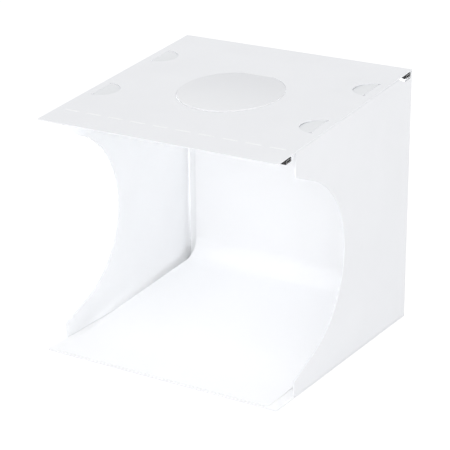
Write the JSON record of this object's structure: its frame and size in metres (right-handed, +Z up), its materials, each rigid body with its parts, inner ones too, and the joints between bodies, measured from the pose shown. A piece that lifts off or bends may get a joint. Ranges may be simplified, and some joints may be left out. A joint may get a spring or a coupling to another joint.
{
  "type": "folding photo light tent",
  "caption": "Fold-flat photo light tent of white sheet, open in front, with bitten side walls, a windowed roof, light bars and a swept backdrop.",
  "frame": {"origin": "centre of the footprint, on the surface it stands on", "axes": "-Y towards the open front, +Z up, +X to the right as seen from the front"},
  "size_m": [0.24, 0.237, 0.24],
  "materials": {
    "white_sheet": "satin white polypropylene sheet",
    "backdrop": "matt white flexible sheet",
    "hook_and_loop": "white hook-and-loop tape",
    "foam_tape": "grey foam tape",
    "bar_channel": "thin channel, lacquered white",
    "light_board": "white board with yellow chips",
    "diffuser": "milky diffuser",
    "white_cap": "satin white moulding",
    "black_cap": "satin black moulding",
    "inlet_steel": "plated steel"
  },
  "bodies": {
    "base": {"base_panel": "white_sheet", "backdrop_sheet": "backdrop"},
    "back": {"back_panel": "white_sheet", "left_hook_strip": "hook_and_loop", "left_loop_strip": "hook_and_loop", "right_hook_strip": "hook_and_loop", "right_loop_strip": "hook_and_loop"},
    "left_side": {"left_side_panel": "white_sheet"},
    "right_side": {"right_side_panel": "white_sheet"},
    "left_flange": {"left_top_flange": "white_sheet"},
    "right_flange": {"right_top_flange": "white_sheet"},
    "roof": {"roof_panel": "white_sheet", "rear_light_tape": "foam_tape", "rear_light_channel": "bar_channel", "rear_light_board": "light_board", "rear_light_diffuser": "diffuser", "rear_light_left_cap": "white_cap", "rear_light_right_cap": "black_cap", "rear_light_inlet_shell": "inlet_steel"},
    "flap": {"front_flap": "white_sheet", "front_light_tape": "foam_tape", "front_light_channel": "bar_channel", "front_light_board": "light_board", "front_light_diffuser": "diffuser", "front_light_left_cap": "white_cap", "front_light_right_cap": "black_cap", "front_light_inlet_shell": "inlet_steel"},
    "cover": {"window_cover": "white_sheet"},
    "left_front_tab": {"left_front_lock_tab": "white_sheet"},
    "left_rear_tab": {"left_rear_lock_tab": "white_sheet"},
    "right_front_tab": {"right_front_lock_tab": "white_sheet"},
    "right_rear_tab": {"right_rear_lock_tab": "white_sheet"}
  },
  "joints": [
    {"name": "back_fold", "type": "hinge", "parent": "base", "child": "back", "pos_m": [0, 0.1185, 0], "axis": [-1, 0, 0], "range_deg": [0, 90], "deforming": ["backdrop_sheet"]},
    {"name": "left_side_fold", "type": "hinge", "parent": "back", "child": "left_side", "pos_m": [-0.12, 0.1185, 0], "axis": [0, 0, -1], "range_deg": [0, 90]},
    {"name": "right_side_fold", "type": "hinge", "parent": "back", "child": "right_side", "pos_m": [0.12, 0.1185, 0], "axis": [0, 0, 1], "range_deg": [0, 90]},
    {"name": "roof_fold", "type": "hinge", "parent": "back", "child": "roof", "pos_m": [0, 0.1185, 0.24], "axis": [-1, 0, 0], "range_deg": [0, 95]},
    {"name": "flap_fold", "type": "hinge", "parent": "roof", "child": "flap", "pos_m": [0, -0.09021, 0.21942], "axis": [1, 0, 0], "range_deg": [0, 45]},
    {"name": "cover_fold", "type": "hinge", "parent": "roof", "child": "cover", "pos_m": [0, 0.05027, 0.23367], "axis": [-1, 0, 0], "range_deg": [0, 120]},
    {"name": "left_flange_fold", "type": "hinge", "parent": "left_side", "child": "left_flange", "pos_m": [-0.1188, 0.00224, 0.2265], "axis": [0, 0.9957, 0.0924], "range_deg": [0, 80]},
    {"name": "left_front_tab_flex", "type": "hinge", "parent": "roof", "child": "left_front_tab", "pos_m": [-0.111, -0.0353, 0.22512], "axis": [0, -0.9957, -0.0924], "range_deg": [-14, 25], "stiffness_Nm_per_rad": 0.01},
    {"name": "left_rear_tab_flex", "type": "hinge", "parent": "roof", "child": "left_rear_tab", "pos_m": [-0.111, 0.05831, 0.23381], "axis": [0, -0.9957, -0.0924], "range_deg": [-14, 25], "stiffness_Nm_per_rad": 0.01},
    {"name": "right_flange_fold", "type": "hinge", "parent": "right_side", "child": "right_flange", "pos_m": [0.1188, 0.00224, 0.2265], "axis": [0, -0.9957, -0.0924], "range_deg": [0, 80]},
    {"name": "right_front_tab_flex", "type": "hinge", "parent": "roof", "child": "right_front_tab", "pos_m": [0.111, -0.0353, 0.22512], "axis": [0, 0.9957, 0.0924], "range_deg": [-14, 25], "stiffness_Nm_per_rad": 0.01},
    {"name": "right_rear_tab_flex", "type": "hinge", "parent": "roof", "child": "right_rear_tab", "pos_m": [0.111, 0.05831, 0.23381], "axis": [0, 0.9957, 0.0924], "range_deg": [-14, 25], "stiffness_Nm_per_rad": 0.01}
  ]
}
